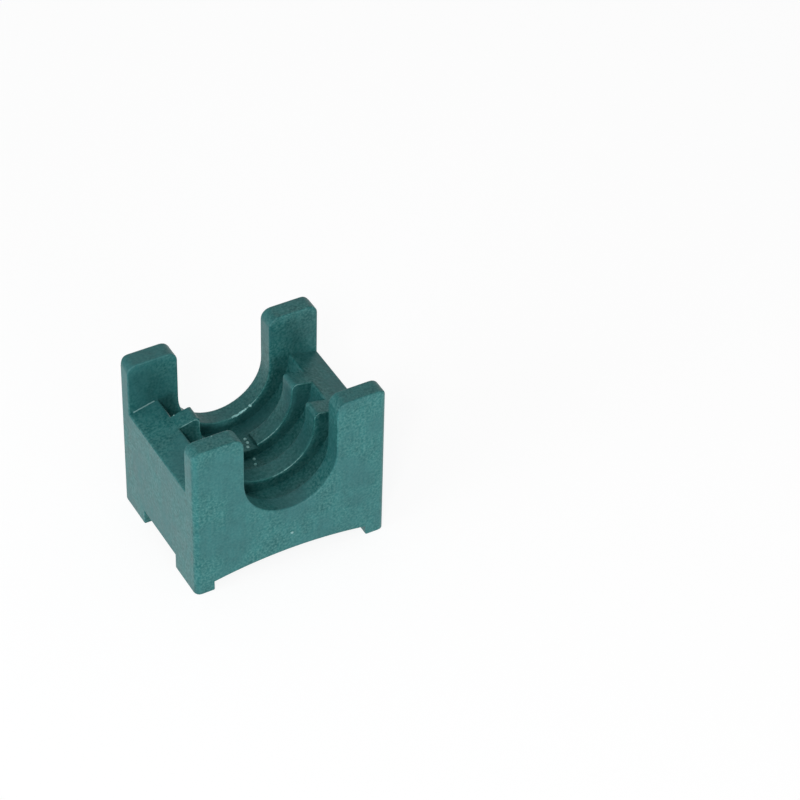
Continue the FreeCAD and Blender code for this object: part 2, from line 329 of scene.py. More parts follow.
    def sweep(self, path: Wire, section: Wire) -> Wire:
        """Sweep a section along a path into a closed mesh."""
        inputs = {"Curve": path, "Profile Curve": section, "Fill Caps": True}
        return self.get("GeometryNodeCurveToMesh", inputs)

    def round_bar(self, path: Wire, radius: Wire) -> Wire:
        """Sweep a circle with the tree's round steps along a path into a closed mesh."""
        circle = {"Resolution": self["Round Steps"], "Radius": radius}
        return self.sweep(path, self.get("GeometryNodeCurvePrimitiveCircle", circle))

    def cube(self, spread: Wire) -> Wire:
        """Make a box with the sides that a vector gives."""
        return self.get("GeometryNodeMeshCube", {"Size": spread})

    def transform(self, shape: Wire, **changes: Value) -> Wire:
        """Move, turn or scale a shape."""
        return self.get("GeometryNodeTransform", {"Geometry": shape} | changes)

    def weld(self, shape: Wire) -> Wire:
        """Merge the points of a shape that lie on each other."""
        merge = {"Geometry": shape, "Distance": MERGE_DISTANCE}
        return self.get("GeometryNodeMergeByDistance", merge)

    def combine(self, solver: Solver, first: Wire, second: Wire) -> Wire:
        """Cut or intersect two solids.

        Args:
            solver: What is done with them.
            first: The solid that is kept.
            second: The solid that it is cut or intersected with.

        Returns:
            The resulting solid.
        """
        solids = {"Mesh 1": first, "Mesh 2": second}
        if solver is Solver.KEEP:
            solids = {"Mesh 2": [first, second]}
        settings = {"operation": solver.value, "solver": "EXACT"}
        return self.weld(self.get("GeometryNodeMeshBoolean", solids, **settings))

    def repeat_along_tube(self, shape: Wire, count: Value, start: Value, pitch: Value) -> Wire:
        """Repeat a shape along the tube.

        Args:
            shape: The shape.
            count: How many there are.
            start: The first one's place along the tube.
            pitch: The distance from one to the next.

        Returns:
            The real geometry of all of them.
        """
        row = {
            "Count": count,
            "Start Location": self.point(0.0, start, 0.0),
            "Offset": self.point(0.0, pitch, 0.0),
        }
        places = self.get("GeometryNodeMeshLine", row)
        placed = self.get("GeometryNodeInstanceOnPoints", {"Points": places, "Instance": shape})
        return self.get("GeometryNodeRealizeInstances", {"Geometry": placed})

    def end(self, kind: str, results: dict[str, Wire]) -> bpy.types.NodeTree:
        """Give the tree its outputs.

        Args:
            kind: The kind of the outputs' sockets.
            results: What each output gives, by name.

        Returns:
            The finished tree.
        """
        for name in results:
            self.tree.interface.new_socket(name, in_out="OUTPUT", socket_type=kind)
        self.add("NodeGroupOutput", results)
        return self.tree

    def finish(self, shape: Wire) -> bpy.types.NodeTree:
        """End a geometry tree: smooth, real and with its material.

        Args:
            shape: The geometry.

        Returns:
            The finished tree.
        """
        smooth = self.get("GeometryNodeSetShadeSmooth", {"Geometry": shape})
        real = self.get("GeometryNodeRealizeInstances", {"Geometry": smooth})
        done = {"Geometry": real, "Material": self["Finish"]}
        done = self.get("GeometryNodeSetMaterial", done)
        return self.end("NodeSocketGeometry", {"Geometry": done})


def title(key: str) -> str:
    """Turn a field's name into the name of a tree's input."""
    return key.replace("_", " ").title()


def new_object(name: str) -> bpy.types.Object:
    """Add an object with an empty mesh at the origin and return it."""
    made = bpy.data.objects.new(name, bpy.data.meshes.new(name))
    bpy.context.scene.collection.objects.link(made)
    return made


def run_tree(piece: bpy.types.Object, tree: bpy.types.NodeTree, values: dict[str, object]) -> None:
    """Give a piece a Geometry Nodes modifier, with its inputs set by their names.

    Args:
        piece: The object.
        tree: The finished tree.
        values: The inputs' values by name.
    """
    modifier = piece.modifiers.new(tree.name, "NODES")
    modifier.node_group = tree
    for item in tree.interface.items_tree:
        if item.in_out == "INPUT" and values[item.name] is not None:
            modifier[item.identifier] = values[item.name]


def freeze(piece: bpy.types.Object) -> None:
    """Turn what a piece's modifiers make into its plain mesh, and remove them.

    Args:
        piece: The object, with its modifiers live.
    """
    bpy.context.view_layer.update()
    graph = bpy.context.evaluated_depsgraph_get()
    mesh = bpy.data.meshes.new_from_object(piece.evaluated_get(graph), depsgraph=graph)
    piece.modifiers.clear()
    piece.data = mesh
    mesh.name = piece.name


def new_finish(name: str) -> tuple[bpy.types.Material, Graph, bpy.types.Node]:
    """Add a material, and return it with its tree and its Principled shader."""
    made = bpy.data.materials.new(name)
    made.use_nodes = True
    return made, Graph(made.node_tree), made.node_tree.nodes["Principled BSDF"]


class SharedGroup:
    """A shader node group that is built once and used by every finish."""

    NAME = ""
    VALUES: dict[str, object] = {}

    def results(self, graph: Graph) -> dict[str, Wire]:
        """Fill the group, and return what it gives by name."""
        raise NotImplementedError

    def use(self, graph: Graph, inputs: dict[str, Value]) -> dict[str, Wire]:
        """Put the group into a finish, and build it before its first use.

        Args:
            graph: The finish's tree.
            inputs: Values or wires for the group's inputs, by name.

        Returns:
            The wires from the group's outputs, by name.
        """
        made = bpy.data.node_groups.get(self.NAME)
        if not made:
            tree = bpy.data.node_groups.new(self.NAME, "ShaderNodeTree")
            group = Graph(tree, self.VALUES)
            made = group.end("NodeSocketFloat", self.results(group))
        return graph.wires("ShaderNodeGroup", inputs, node_tree=made)


class GrainGroup(SharedGroup):
    """The shader group for the texture that the mould leaves in plastic."""

    NAME = "MouldGrain"
    VALUES = {
        "Position": (0.0, 0.0, 0.0),
        "Speckle Size": 0.35 * MM,
        "Cloud Size": 4.0 * MM,
        "Streak Size": 1.2 * MM,
        "Haze Size": 9.0 * MM,
    }
    STREAK_STRETCH = (1.0, 1.0, 0.3)
    CLOUD_SHARE = 0.6
    STREAK_SHARE = 0.4
    HAZE_RANGE = (0.38, 0.68)
    CLOUD_HEIGHT = 2.0

    def results(self, graph: Graph) -> dict[str, Wire]:
        """Fill the group with its noises.

        Args:
            graph: The group under construction.

        Returns:
            What the outputs Speckle, Clouds, Haze and Height give.
        """
        place = graph["Position"]
        speckle = self.noise(graph, place, "Speckle Size", detail=1.5, roughness=0.6)
        haze = self.noise(graph, place, "Haze Size", detail=2.0, roughness=0.5)
        clouds = self.noise(graph, place, "Cloud Size", detail=4.0, roughness=0.55)
        narrow = graph.vector("MULTIPLY", {0: place, 1: self.STREAK_STRETCH})
        streaks = self.noise(graph, narrow, "Streak Size", detail=2.0, roughness=0.5)
        mixed = clouds * self.CLOUD_SHARE + streaks * self.STREAK_SHARE
        return {
            "Speckle": speckle,
            "Clouds": mixed,
            "Haze": graph.spread(haze, self.HAZE_RANGE, interpolation_type="SMOOTHSTEP"),
            "Height": speckle + mixed * self.CLOUD_HEIGHT,
        }

    def noise(self, graph: Graph, place: Wire, size: str, detail: float, roughness: float) -> Wire:
        """Add a noise of one grain size.

        Args:
            graph: The group under construction.
            place: The position that the noise is read at.
            size: The name of the input for the grain's size.
            detail: The number of finer layers.
            roughness: The strength of the finer layers.

        Returns:
            The noise's value.
        """
        inputs = {"Vector": place, "Scale": 1.0 / graph[size]}
        inputs |= {"Detail": detail, "Roughness": roughness}
        return graph.get("ShaderNodeTexNoise", inputs, "Fac")


class PaintedHighlightGroup(SharedGroup):
    """The shader group for a stretch of edges painted pale as a highlight."""

    NAME = "PaintedHighlightStretch"
    VALUES = {"Position": (0.0, 0.0, 0.0), "Across": MM, "Up": MM, "Reach": MM}
    ACROSS_AND_UP = (1.0, 0.0, 1.0)
    FADE_RANGE = (1.0, 0.35)

    def results(self, graph: Graph) -> dict[str, Wire]:
        """Fill the group.

        Args:
            graph: The group under construction.

        Returns:
            What the output Mask gives, which is 1 in the middle of the stretch.
        """
        flat = graph.vector("MULTIPLY", {0: graph["Position"], 1: self.ACROSS_AND_UP})
        centre = graph.point(graph["Across"], 0.0, graph["Up"])
        share = graph.vector("DISTANCE", {0: flat, 1: centre}, "Value") / graph["Reach"]
        return {"Mask": graph.spread(share, self.FADE_RANGE, interpolation_type="SMOOTHSTEP")}


@dataclass(frozen=True)
class Scuff:
    """A stretch that is painted pale as a highlight: its middle, its reach and how pale it is."""

    across: float
    up: float
    reach: float
    share: float


@dataclass(frozen=True)
class MouldedPlastic:
    """A satin plastic with clouds of colour, a fine grain and any painted highlights."""

    name: str
    deep: Colour
    pale: Colour
    hazed: Colour
    sparkle: Colour
    # The colour of the painted highlight, where the plastic has stretches of it
    rubbed: Colour = WHITE
    roughness: float = 0.42
    roughness_spread: float = 0.14
    specular: float = 0.22
    speckle_size: float = 0.5
    cloud_size: float = 2.6
    streak_size: float = 1.1
    haze_size: float = 8.0
    relief: float = 0.03
    relief_strength: float = 0.6
    cloud_range: tuple[float, float] = (0.36, 0.64)
    speckle_range: tuple[float, float] = (0.36, 0.7)
    gloss_range: tuple[float, float] = (0.3, 0.7)
    highlight_break_range: tuple[float, float] = (0.34, 0.58)
    scuff_floor: float = 0.25
    sparkle_share: float = 0.6
    haze_cover: float = 0.45
    haze_share: float = 0.4
    scuffs: tuple[Scuff, ...] = ()

    def material(self) -> bpy.types.Material:
        """Build the finish.

        Returns:
            The material, with its Principled shader and the shared groups.
        """
        made, graph, shader = new_finish(self.name)
        place = graph.get("ShaderNodeTexCoord", out="Object")
        sizes: dict[str, Value] = {"Position": place}
        for key in ("speckle_size", "cloud_size", "streak_size", "haze_size"):
            sizes[title(key)] = getattr(self, key) * MM
        grain = GrainGroup().use(graph, sizes)
        graph.feed(shader.inputs["Base Color"], self.blend(graph, place, grain))
        half = self.roughness_spread / 2
        gloss = (self.roughness - half, self.roughness + half)
        gloss = graph.spread(grain["Clouds"], self.gloss_range, gloss)
        graph.feed(shader.inputs["Roughness"], gloss)
        shader.inputs["Specular IOR Level"].default_value = self.specular
        bump = {"Strength": self.relief_strength, "Distance": self.relief * MM}
        bump = graph.get("ShaderNodeBump", bump | {"Height": grain["Height"]})
        graph.feed(shader.inputs["Normal"], bump)
        return made

    def blend(self, graph: Graph, place: Wire, grain: dict[str, Wire]) -> Wire:
        """Mix the plastic's colours.

        Args:
            graph: The material's tree.
            place: The position.
            grain: The outputs of the grain group.

        Returns:
            The colour.
        """
        clouds = graph.spread(grain["Clouds"], self.cloud_range)
        spots = graph.spread(grain["Speckle"], self.speckle_range) * self.sparkle_share
        calm = 1.0 - grain["Haze"] * self.haze_cover
        body = graph.mix(clouds, self.deep, self.pale)
        body = graph.mix(spots * calm, body, self.sparkle)
        body = graph.mix(grain["Haze"] * self.haze_share, body, self.hazed)
        # Stretches of painted highlight: paler where the lamps' highlights fall on the edges
        if not self.scuffs:
            return body
        return graph.mix(self.wear(graph, place, grain["Speckle"]), body, self.rubbed)

    def wear(self, graph: Graph, place: Wire, speckle: Wire) -> Wire:
        """Work out how much the surface is painted pale as a highlight.

        Args:
            graph: The material's tree.
            place: The position.
            speckle: The fine noise that breaks up each painted highlight.

        Returns:
            The share that is painted pale as a highlight.
        """
        highlighted: Value = 0.0
        for highlight in self.scuffs:
            stretch: dict[str, Value] = {"Position": place}
            for key in ("across", "up", "reach"):
                stretch[title(key)] = getattr(highlight, key) * MM
            highlighted = graph.most(highlighted, PaintedHighlightGroup().use(graph, stretch)["Mask"] * highlight.share)
        broken = graph.spread(speckle, self.highlight_break_range, (self.scuff_floor, 1.0))
        return highlighted * broken


@dataclass(kw_only=True)
class Moulding:
    """A piece of the moulding, which Geometry Nodes make from named sizes.

    The sizes that several pieces share are fields here, and each piece adds its own.
    """

    finish: MouldedPlastic
    name: str
    plate_width: float = 38.4
    plate_face: float = 11.4
    seat_radius: float = 9.25
    axis_height: float = 22.9
    shoulder_angle: float = 14.0
    rib_count: int = 2
    rib_thickness: float = 3.6
    recess_place: float = 4.4
    recess_width: float = 4.4
    recess_depth: float = 0.65
    places: tuple[Place, ...] = ()

    STANDS_FOR_CAD_NODE = False

    def build(self) -> bpy.types.Object:
        """Build the piece with its finish.

        Returns:
            The piece, as one plain mesh.
        """
        piece = new_object(self.name)
        piece.data.from_pydata([Vector(place) * MM for place in self.places], [], [])
        values = self.inputs()
        tree = bpy.data.node_groups.new(type(self).__name__, "GeometryNodeTree")
        graph = Graph(tree, values)
        run_tree(piece, graph.finish(self.shape(graph)), values)
        self.dress(piece)
        freeze(piece)
        if self.STANDS_FOR_CAD_NODE:
            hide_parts(CAD_NODE)
        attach(piece, BODY)
        return piece

    def inputs(self) -> dict[str, object]:
        """Work out what the tree's inputs can be from the fields.

        Returns:
            The values by name, with lengths in metres and angles in radians.
        """
        values: dict[str, object] = {"Geometry": None, "Finish": self.finish.material()}
        for item in fields(self):
            value = getattr(self, item.name)
            if isinstance(value, float):
                is_angle = item.name.endswith("_angle")
                value = math.radians(value) if is_angle else value * MM
            if isinstance(value, (float, int)):
                values[title(item.name)] = value
        values["Shoulder Slope"] = math.tan(math.radians(self.shoulder_angle))
        return values

    def shape(self, graph: Graph) -> Wire:
        """Fill the piece's tree, and return the geometry that it makes."""
        raise NotImplementedError

    def dress(self, piece: bpy.types.Object) -> None:
        """Add the modifiers that follow the tree, where a piece has any."""

    def shoulder_height(self, graph: Graph, across: Wire) -> Wire:
        """Work out how high the shoulder's plane is at a distance from the middle."""
        inward = graph["Plate Width"] * 0.5 - across
        return graph["Axis Height"] + inward * graph["Shoulder Slope"]

    def insert_recess(self, graph: Graph) -> Wire:
        """Make the space over the mould's flat insert in the second rib.

        Args:
            graph: The tree under construction.

        Returns:
            The space's mesh.
        """
        seat = graph["Seat Radius"]
        length = graph["Rib Thickness"] * RECESS_REACH
        box = graph.cube(graph.point(graph["Recess Width"], length, seat))
        floor = graph["Axis Height"] - seat - graph["Recess Depth"]
        place = graph.point(0.0, graph["Recess Place"], floor + seat * 0.5)
        return graph.transform(box, Translation=place)


@dataclass(frozen=True)
class EdgeDressing:
    """How the saddle's edges are rounded, cleaned and shaded."""

    rib_crest_radius: float = 1.1
    wall_top_radius: float = 0.5
    edge_radius: float = 0.27
    recess_edge_radius: float = 0.06
    steps: int = 4
    sharp_angle: float = 32.0
    flat_angle: float = 0.1
    fold_angle: float = 50.0
    face_weight: int = 100


@dataclass(kw_only=True)
class RibbedSaddle(Moulding):
    """The whole moulding: plates, prongs, walls, ribs, bays, seat and feet."""

    name: str = "saddle"
    body_depth: float = 30.0
    body_height: float = 34.0
    corner_radius: float = 1.15
    plate_thickness: float = 3.6
    prong_outer_radius: float = 1.8
    prong_inner_radius: float = 2.0
    side_wall: float = 5.9
    bay_depth: float = 2.5
    foot_width: float = 3.8
    foot_length: float = 8.6
    arch_end_height: float = 2.0
    arch_rise: float = 1.45
    foot_gap_height: float = 3.15
    spike_length: float = 0.1
    arc_steps: int = 16
    arch_steps: int = 720
    plan_steps: int = 4
    prong_steps: int = 6
    edges: EdgeDressing = EdgeDressing()

    STANDS_FOR_CAD_NODE = True

    def inputs(self) -> dict[str, object]:
        """Add the edges' sizes, as shares of the widest rounding, to the inputs."""
        edges = self.edges
        widest = edges.rib_crest_radius
        return super().inputs() | {
            "Wall Top Share": edges.wall_top_radius / widest,
            "Edge Share": edges.edge_radius / widest,
            "Recess Share": edges.recess_edge_radius / widest,
            "Sharp Angle": math.radians(edges.sharp_angle),
        }

    def dress(self, piece: bpy.types.Object) -> None:
        """Add the modifiers that round the edges and tidy the shading.

        Args:
            piece: The saddle, with its tree live.
        """
        flats = piece.modifiers.new("flats", "DECIMATE")
        flats.decimate_type = "DISSOLVE"
        flats.angle_limit = math.radians(self.edges.flat_angle)
        rounding = piece.modifiers.new("edges", "BEVEL")
        rounding.limit_method = "WEIGHT"
        rounding.width = self.edges.rib_crest_radius * MM
        rounding.segments = self.edges.steps
        rounding.use_clamp_overlap = False
        rounding.miter_outer = "MITER_ARC"
        weld = piece.modifiers.new("weld", "WELD")
        weld.merge_threshold = MERGE_DISTANCE
        self.crease(piece)
        shading = piece.modifiers.new("shading", "WEIGHTED_NORMAL")
        shading.weight = self.edges.face_weight
        shading.keep_sharp = True

    def crease(self, piece: bpy.types.Object) -> None:
        """Keep inner corners and folds sharp in the shading.

        Args:
            piece: The saddle, with its modifiers live.
        """
        limits = {
            "Geometry": None,
            "Sharp Angle": math.radians(self.edges.sharp_angle),
            "Fold Angle": math.radians(self.edges.fold_angle),
        }
        graph = Graph(bpy.data.node_groups.new("InnerCreases", "GeometryNodeTree"), limits)
        creased = {"Geometry": graph["Geometry"], "Shade Smooth": False}
        angle = graph.get("GeometryNodeInputMeshEdgeAngle", out="Signed Angle")
        chosen = graph.most(-angle > graph["Sharp Angle"], angle > graph["Fold Angle"])
        creased["Selection"] = chosen
        shape = graph.get("GeometryNodeSetShadeSmooth", creased, domain="EDGE")
        run_tree(piece, graph.end("NodeSocketGeometry", {"Geometry": shape}), limits)

    def shape(self, graph: Graph) -> Wire:
        """Make the moulding: the block, what is cut from it, and how its edges are marked.

        Args:
            graph: The tree under construction.

        Returns:
            The solid.
        """
        solid = self.block(graph)
        for cutter in (self.shoulder_space, self.bays, self.foot_gap, self.arch):
            solid = graph.combine(Solver.CUT, solid, cutter(graph))
        solid = graph.combine(Solver.KEEP, solid, self.rounded_plan(graph))
        solid = graph.combine(Solver.CUT, solid, self.insert_recess(graph))
        return self.mark_edges(graph, self.close_spikes(graph, solid))

    def prism(
        self,
        graph: Graph,
        corners: Sequence[tuple[Value, Value]],
        radii: Sequence[Value],
        length: Value,
        steps: Value,
    ) -> Wire:
        """Make a bar along the tube from a polygon whose corners are rounded.

        Args:
            graph: The tree under construction.
            corners: The corners, across and up, anticlockwise.
            radii: The radius that each corner is rounded with.
            length: The bar's length.
            steps: The number of steps in each rounded corner.

        Returns:
            The bar's mesh, centred on the middle of the tube.
        """
        places = [graph.point(across, up, 0.0) for across, up in corners]
        section = graph.rounded_path(places, radii, steps, closed=True)
        half = length * 0.5
        path = graph.straight_path(graph.point(0.0, 0.0, -half), graph.point(0.0, 0.0, half))
        return graph.transform(graph.weld(graph.sweep(path, section)), Rotation=QUARTER_TURN)

    def block(self, graph: Graph) -> Wire:
        """Make the block with its slot, seat and rounded prongs.

        Args:
            graph: The tree under construction.

        Returns:
            The block's mesh.
        """
        half = graph["Plate Width"] * 0.5
        seat = graph["Seat Radius"]
        floor = graph["Axis Height"] - seat
        top = graph["Body Height"]
        foot = ((-half, 0.0), (half, 0.0))
        right = ((half, top), (seat, top), (seat, floor))
        left = ((-seat, floor), (-seat, top), (-half, top))
        outer = graph["Prong Outer Radius"]
        inner = graph["Prong Inner Radius"]
        radii = (0.0, 0.0, outer, inner, seat, seat, inner, outer)
        tip = graph["Prong Steps"]
        arc = graph["Arc Steps"]
        number = graph.get("GeometryNodeInputIndex")
        steps = graph.pick("INT", number, (1, 1, tip, tip, arc, arc, tip, tip))
        return self.prism(graph, foot + right + left, radii, graph["Body Depth"], steps)

    def shoulder_space(self, graph: Graph) -> Wire:
        """Make the space over the sloping shoulders.

        Args:
            graph: The tree under construction.

        Returns:
            The space's mesh.
        """
        width = graph["Plate Width"]
        left = -width
        slope = graph["Shoulder Slope"]
        low = graph["Axis Height"] - width * 0.5 * slope
        peak = low + width * slope
        top = graph["Body Height"] * FAR_CUTTER_REACH
        corners = ((left, low), (0.0, peak), (width, low), (width, top), (left, top))
        length = graph["Body Depth"] - graph["Plate Thickness"] * 2.0
        return self.prism(graph, corners, (0.0,) * len(corners), length, 1)

    def bays(self, graph: Graph) -> Wire:
        """Make the spaces between the ribs, repeated along the tube.

        Args:
            graph: The tree under construction.

        Returns:
            The spaces' meshes.
        """
        half = graph["Plate Width"] * 0.5 - graph["Side Wall"]
        left = -half
        floor = graph["Axis Height"] - graph["Seat Radius"] - graph["Bay Depth"]
        top = graph["Body Height"] * CUTTER_REACH
        corners = ((left, floor), (half, floor), (half, top), (left, top))
        count = graph["Rib Count"]
        ribs = graph["Rib Thickness"] * count
        open_length = graph["Body Depth"] - graph["Plate Thickness"] * 2.0 - ribs
        bay_count = count + 1.0
        gap = open_length / bay_count
        bay = self.prism(graph, corners, (half, half, 0.0, 0.0), gap, graph["Arc Steps"])
        pitch = gap + graph["Rib Thickness"]
        return graph.repeat_along_tube(bay, bay_count, pitch * count * -0.5, pitch)

    def foot_gap(self, graph: Graph) -> Wire:
        """Make the opening between the feet of each side.

        Args:
            graph: The tree under construction.

        Returns:
            The opening's mesh.
        """
        length = graph["Body Depth"] - graph["Foot Length"] * 2.0
        width = graph["Plate Width"] * CUTTER_REACH
        return graph.cube(graph.point(width, length, graph["Foot Gap Height"] * 2.0))

    def arch(self, graph: Graph) -> Wire:
        """Make the space under the shallow arch, from a large drum and a box.

        Args:
            graph: The tree under construction.

        Returns:
            The space's mesh.
        """
        span = graph["Plate Width"] - graph["Foot Width"] * 2.0
        half = span * 0.5
        rise = graph["Arch Rise"]
        radius = (half**2.0 + rise**2.0) / (rise * 2.0)
        crown = graph["Arch End Height"] + rise
        depth = graph["Body Depth"] * CUTTER_REACH
        drum = {"Vertices": graph["Arch Steps"], "Radius": radius, "Depth": depth}
        drum = graph.get("GeometryNodeMeshCylinder", drum, "Mesh")
        place = graph.point(0.0, 0.0, crown - radius)
        placed = graph.transform(drum, Translation=place, Rotation=QUARTER_TURN)
        window = graph.cube(graph.point(span, depth * WINDOW_DEPTH, crown * WINDOW_HEIGHT))
        return graph.combine(Solver.KEEP, placed, window)

    def rounded_plan(self, graph: Graph) -> Wire:
        """Make an upright bar with the saddle's rounded plan.

        Args:
            graph: The tree under construction.

        Returns:
            The bar's mesh.
        """
        plan = {"Width": graph["Plate Width"], "Height": graph["Body Depth"]}
        plan = graph.get("GeometryNodeCurvePrimitiveQuadrilateral", plan)
        fillet = {"Curve": plan, "Radius": graph["Corner Radius"], "Count": graph["Plan Steps"]}
        section = graph.get("GeometryNodeFilletCurve", fillet, mode="POLY")
        height = graph["Body Height"]
        low = graph.point(0.0, 0.0, height * -0.5)
        high = graph.point(0.0, 0.0, height * CUTTER_REACH)
        return graph.sweep(graph.straight_path(low, high), section)

    def close_spikes(self, graph: Graph, solid: Wire) -> Wire:
        """Close the thin spikes that the cuts leave where a bay's wall meets a plate.

        Args:
            graph: The tree under construction.
            solid: The solid after its last cut.

        Returns:
            The solid, with the spikes' points back on the shoulders.
        """
        place = graph.split(graph.get("GeometryNodeInputPosition"))
        rise = place["Z"] - self.shoulder_height(graph, abs(place["X"]))
        face = graph["Body Depth"] * 0.5 - graph["Plate Thickness"]
        close = abs(abs(place["Y"]) - face) < MERGE_DISTANCE
        raised = rise > MERGE_DISTANCE
        low = rise < graph["Spike Length"]
        moved = {"Geometry": solid, "Selection": close * (raised * low)}
        moved["Offset"] = graph.point(0.0, 0.0, -rise)
        return graph.weld(graph.get("GeometryNodeSetPosition", moved))

    def mark_edges(self, graph: Graph, solid: Wire) -> Wire:
        """Write on each edge how far it is rounded.

        Args:
            graph: The tree under construction.
            solid: The solid after its last cut.

        Returns:
            The solid, with a share of the widest rounding on each edge.
        """
        angle = graph.get("GeometryNodeInputMeshEdgeAngle", out="Signed Angle")
        sharp = angle > graph["Sharp Angle"]
        ends = graph.wires("GeometryNodeInputMeshEdgeVertices")
        run = graph.vector("SUBTRACT", {0: ends["Position 1"], 1: ends["Position 2"]})
        heading = graph.split(graph.vector("NORMALIZE", {0: run}))
        lengthwise = abs(heading["Y"]) > ALIGNED
        upright = abs(heading["Z"]) > ALIGNED
        place = graph.split(ends["Position 1"])
        across = abs(place["X"])
        axis = graph["Axis Height"]
        seat = graph["Seat Radius"]

        # The crests of the ribs and the inner edges of the wall tops
        high = place["Z"] > axis
        inner = graph["Plate Width"] - graph["Side Wall"] * WALL_TOP_BAND
        top = lengthwise * high * (across < inner * 0.5)
        crest = top * (across < seat * CREST_BAND)
        walls = top * graph["Wall Top Share"]

        # The edges of the recess, which stay almost sharp
        width = graph["Recess Width"]
        low = (1.0 - high) * (place["Z"] > axis - (seat + width))
        narrow = across < width * RECESS_BAND
        step = graph.most(lengthwise, upright) * (narrow * low)
        plain = {0: step, 2: graph["Edge Share"], 3: graph["Recess Share"]}
        plain = graph.get("ShaderNodeMix", plain)

        share = sharp * graph.most(plain, graph.most(crest, walls))
        marks = {"Geometry": solid, "Name": BEVEL_ATTRIBUTE, "Value": share}
        settings = {"data_type": "FLOAT", "domain": "EDGE"}
        return graph.get("GeometryNodeStoreNamedAttribute", marks, **settings)


@dataclass(kw_only=True)
class PartingBeads(Moulding):
    """The thin beads of plastic where the halves of the mould met, on each rib."""

    name: str = "parting_beads"
    bay_half_width: float = 13.3
    first_face: float = -6.2
    pitch: float = 8.8
    bead_radius: float = 0.08
    inset: float = 0.14
    face_inset: float = 0.03
    corner_radius: float = 1.0
    wall_reach: float = 0.6
    arc_steps: int = 24
    round_steps: int = 8

    def shape(self, graph: Graph) -> Wire:
        """Sweep a bead along a rib's front edge and repeat it for each rib.

        Args:
            graph: The tree under construction.

        Returns:
            The beads.
        """
        inset = graph["Inset"]
        seat = graph["Seat Radius"] + inset
        wall = graph["Bay Half Width"] + graph["Wall Reach"]
        floor = graph["Axis Height"] - seat
        crest = self.shoulder_height(graph, seat) - inset
        end = self.shoulder_height(graph, wall) - inset
        left = ((-wall, end), (-seat, crest), (-seat, floor))
        right = ((seat, floor), (seat, crest), (wall, end))
        corners = [graph.point(across, 0.0, up) for across, up in left + right]
        corner = graph["Corner Radius"]
        radii = (0.0, corner, seat, seat, corner, 0.0)
        path = graph.rounded_path(corners, radii, graph["Arc Steps"], closed=False)
        bead = graph.weld(graph.round_bar(path, graph["Bead Radius"]))
        start = graph["First Face"] + graph["Face Inset"]
        beads = graph.repeat_along_tube(bead, graph["Rib Count"], start, graph["Pitch"])
        return graph.combine(Solver.CUT, beads, self.insert_recess(graph))


@dataclass(kw_only=True)
class SeatLip(Moulding):
    """A lip of plastic on the front edge of the back plate's seat.

    Its start angle is measured from straight down, and its seed picks the noise.
    """

    start_angle: float
    sweep_angle: float
    lip_radius: float
    unevenness: float
    inset: float = 0.1
    patch_length: float = 0.5
    thinnest: float = 0.05
    seed: float = 3.0
    arc_steps: int = 90
    round_steps: int = 10

    def inputs(self) -> dict[str, object]:
        """Add the start angle from the X axis, and the plain numbers, to the inputs."""
        start = math.radians(self.start_angle - 90.0)
        return super().inputs() | {"Start Angle": start, "Seed": self.seed}

    def shape(self, graph: Graph) -> Wire:
        """Sweep the lip along the seat's edge, thinner towards its ends, and roughen it.

        Args:
            graph: The tree under construction.

        Returns:
            The lip.
        """
        inset = graph["Inset"]
        ring = {"Resolution": graph["Arc Steps"], "Radius": graph["Seat Radius"] + inset}
        ring |= {name: graph[name] for name in ("Start Angle", "Sweep Angle")}
        arc = graph.get("GeometryNodeCurveArc", ring)
        place = graph.point(0.0, graph["Plate Face"] + inset, graph["Axis Height"])
        placed = graph.transform(arc, Translation=place, Rotation=QUARTER_TURN)
        share = graph.get("GeometryNodeSplineParameter", out="Factor")
        swell = graph.sum("SINE", share * math.pi)
        taper = graph.most(graph.most(swell, 0.0) ** 0.5, self.thinnest)
        path = graph.get("GeometryNodeSetCurveRadius", {"Curve": placed, "Radius": taper})
        return self.roughen(graph, graph.round_bar(path, graph["Lip Radius"]))

    def roughen(self, graph: Graph, shape: Wire) -> Wire:
        """Push a shape's surface in and out by a noise.

        Args:
            graph: The tree under construction.
            shape: The shape.

        Returns:
            The roughened shape.
        """
        grain = {"W": graph["Seed"], "Scale": 1.0 / graph["Patch Length"], "Detail": 2.0}
        noise = graph.get("ShaderNodeTexNoise", grain, "Fac", noise_dimensions="4D")
        push = (noise - 0.5) * graph["Unevenness"]
        normal = graph.get("GeometryNodeInputNormal")
        offset = graph.vector("SCALE", {0: normal, "Scale": push})
        return graph.get("GeometryNodeSetPosition", {"Geometry": shape, "Offset": offset})


@dataclass(kw_only=True)
class JunctionBeads(Moulding):
    """The thin beads in the corners where the left shoulder meets the end plates."""

    name: str = "junction_beads"
    outer_end: float = 18.3
    inner_end: float = 14.1
    bead_radius: float = 0.15
    round_steps: int = 8

    def shape(self, graph: Graph) -> Wire:
        """Run a bead down the shoulder's corner at each plate.

        Args:
            graph: The tree under construction.

        Returns:
            The beads.
        """
        ends = []
        for across in (graph["Outer End"], graph["Inner End"]):
            ends.append(graph.point(-across, 0.0, self.shoulder_height(graph, across)))
        bead = graph.round_bar(graph.straight_path(*ends), graph["Bead Radius"])
        back = graph["Plate Face"]
        return graph.repeat_along_tube(bead, 2, -back, back * 2.0)


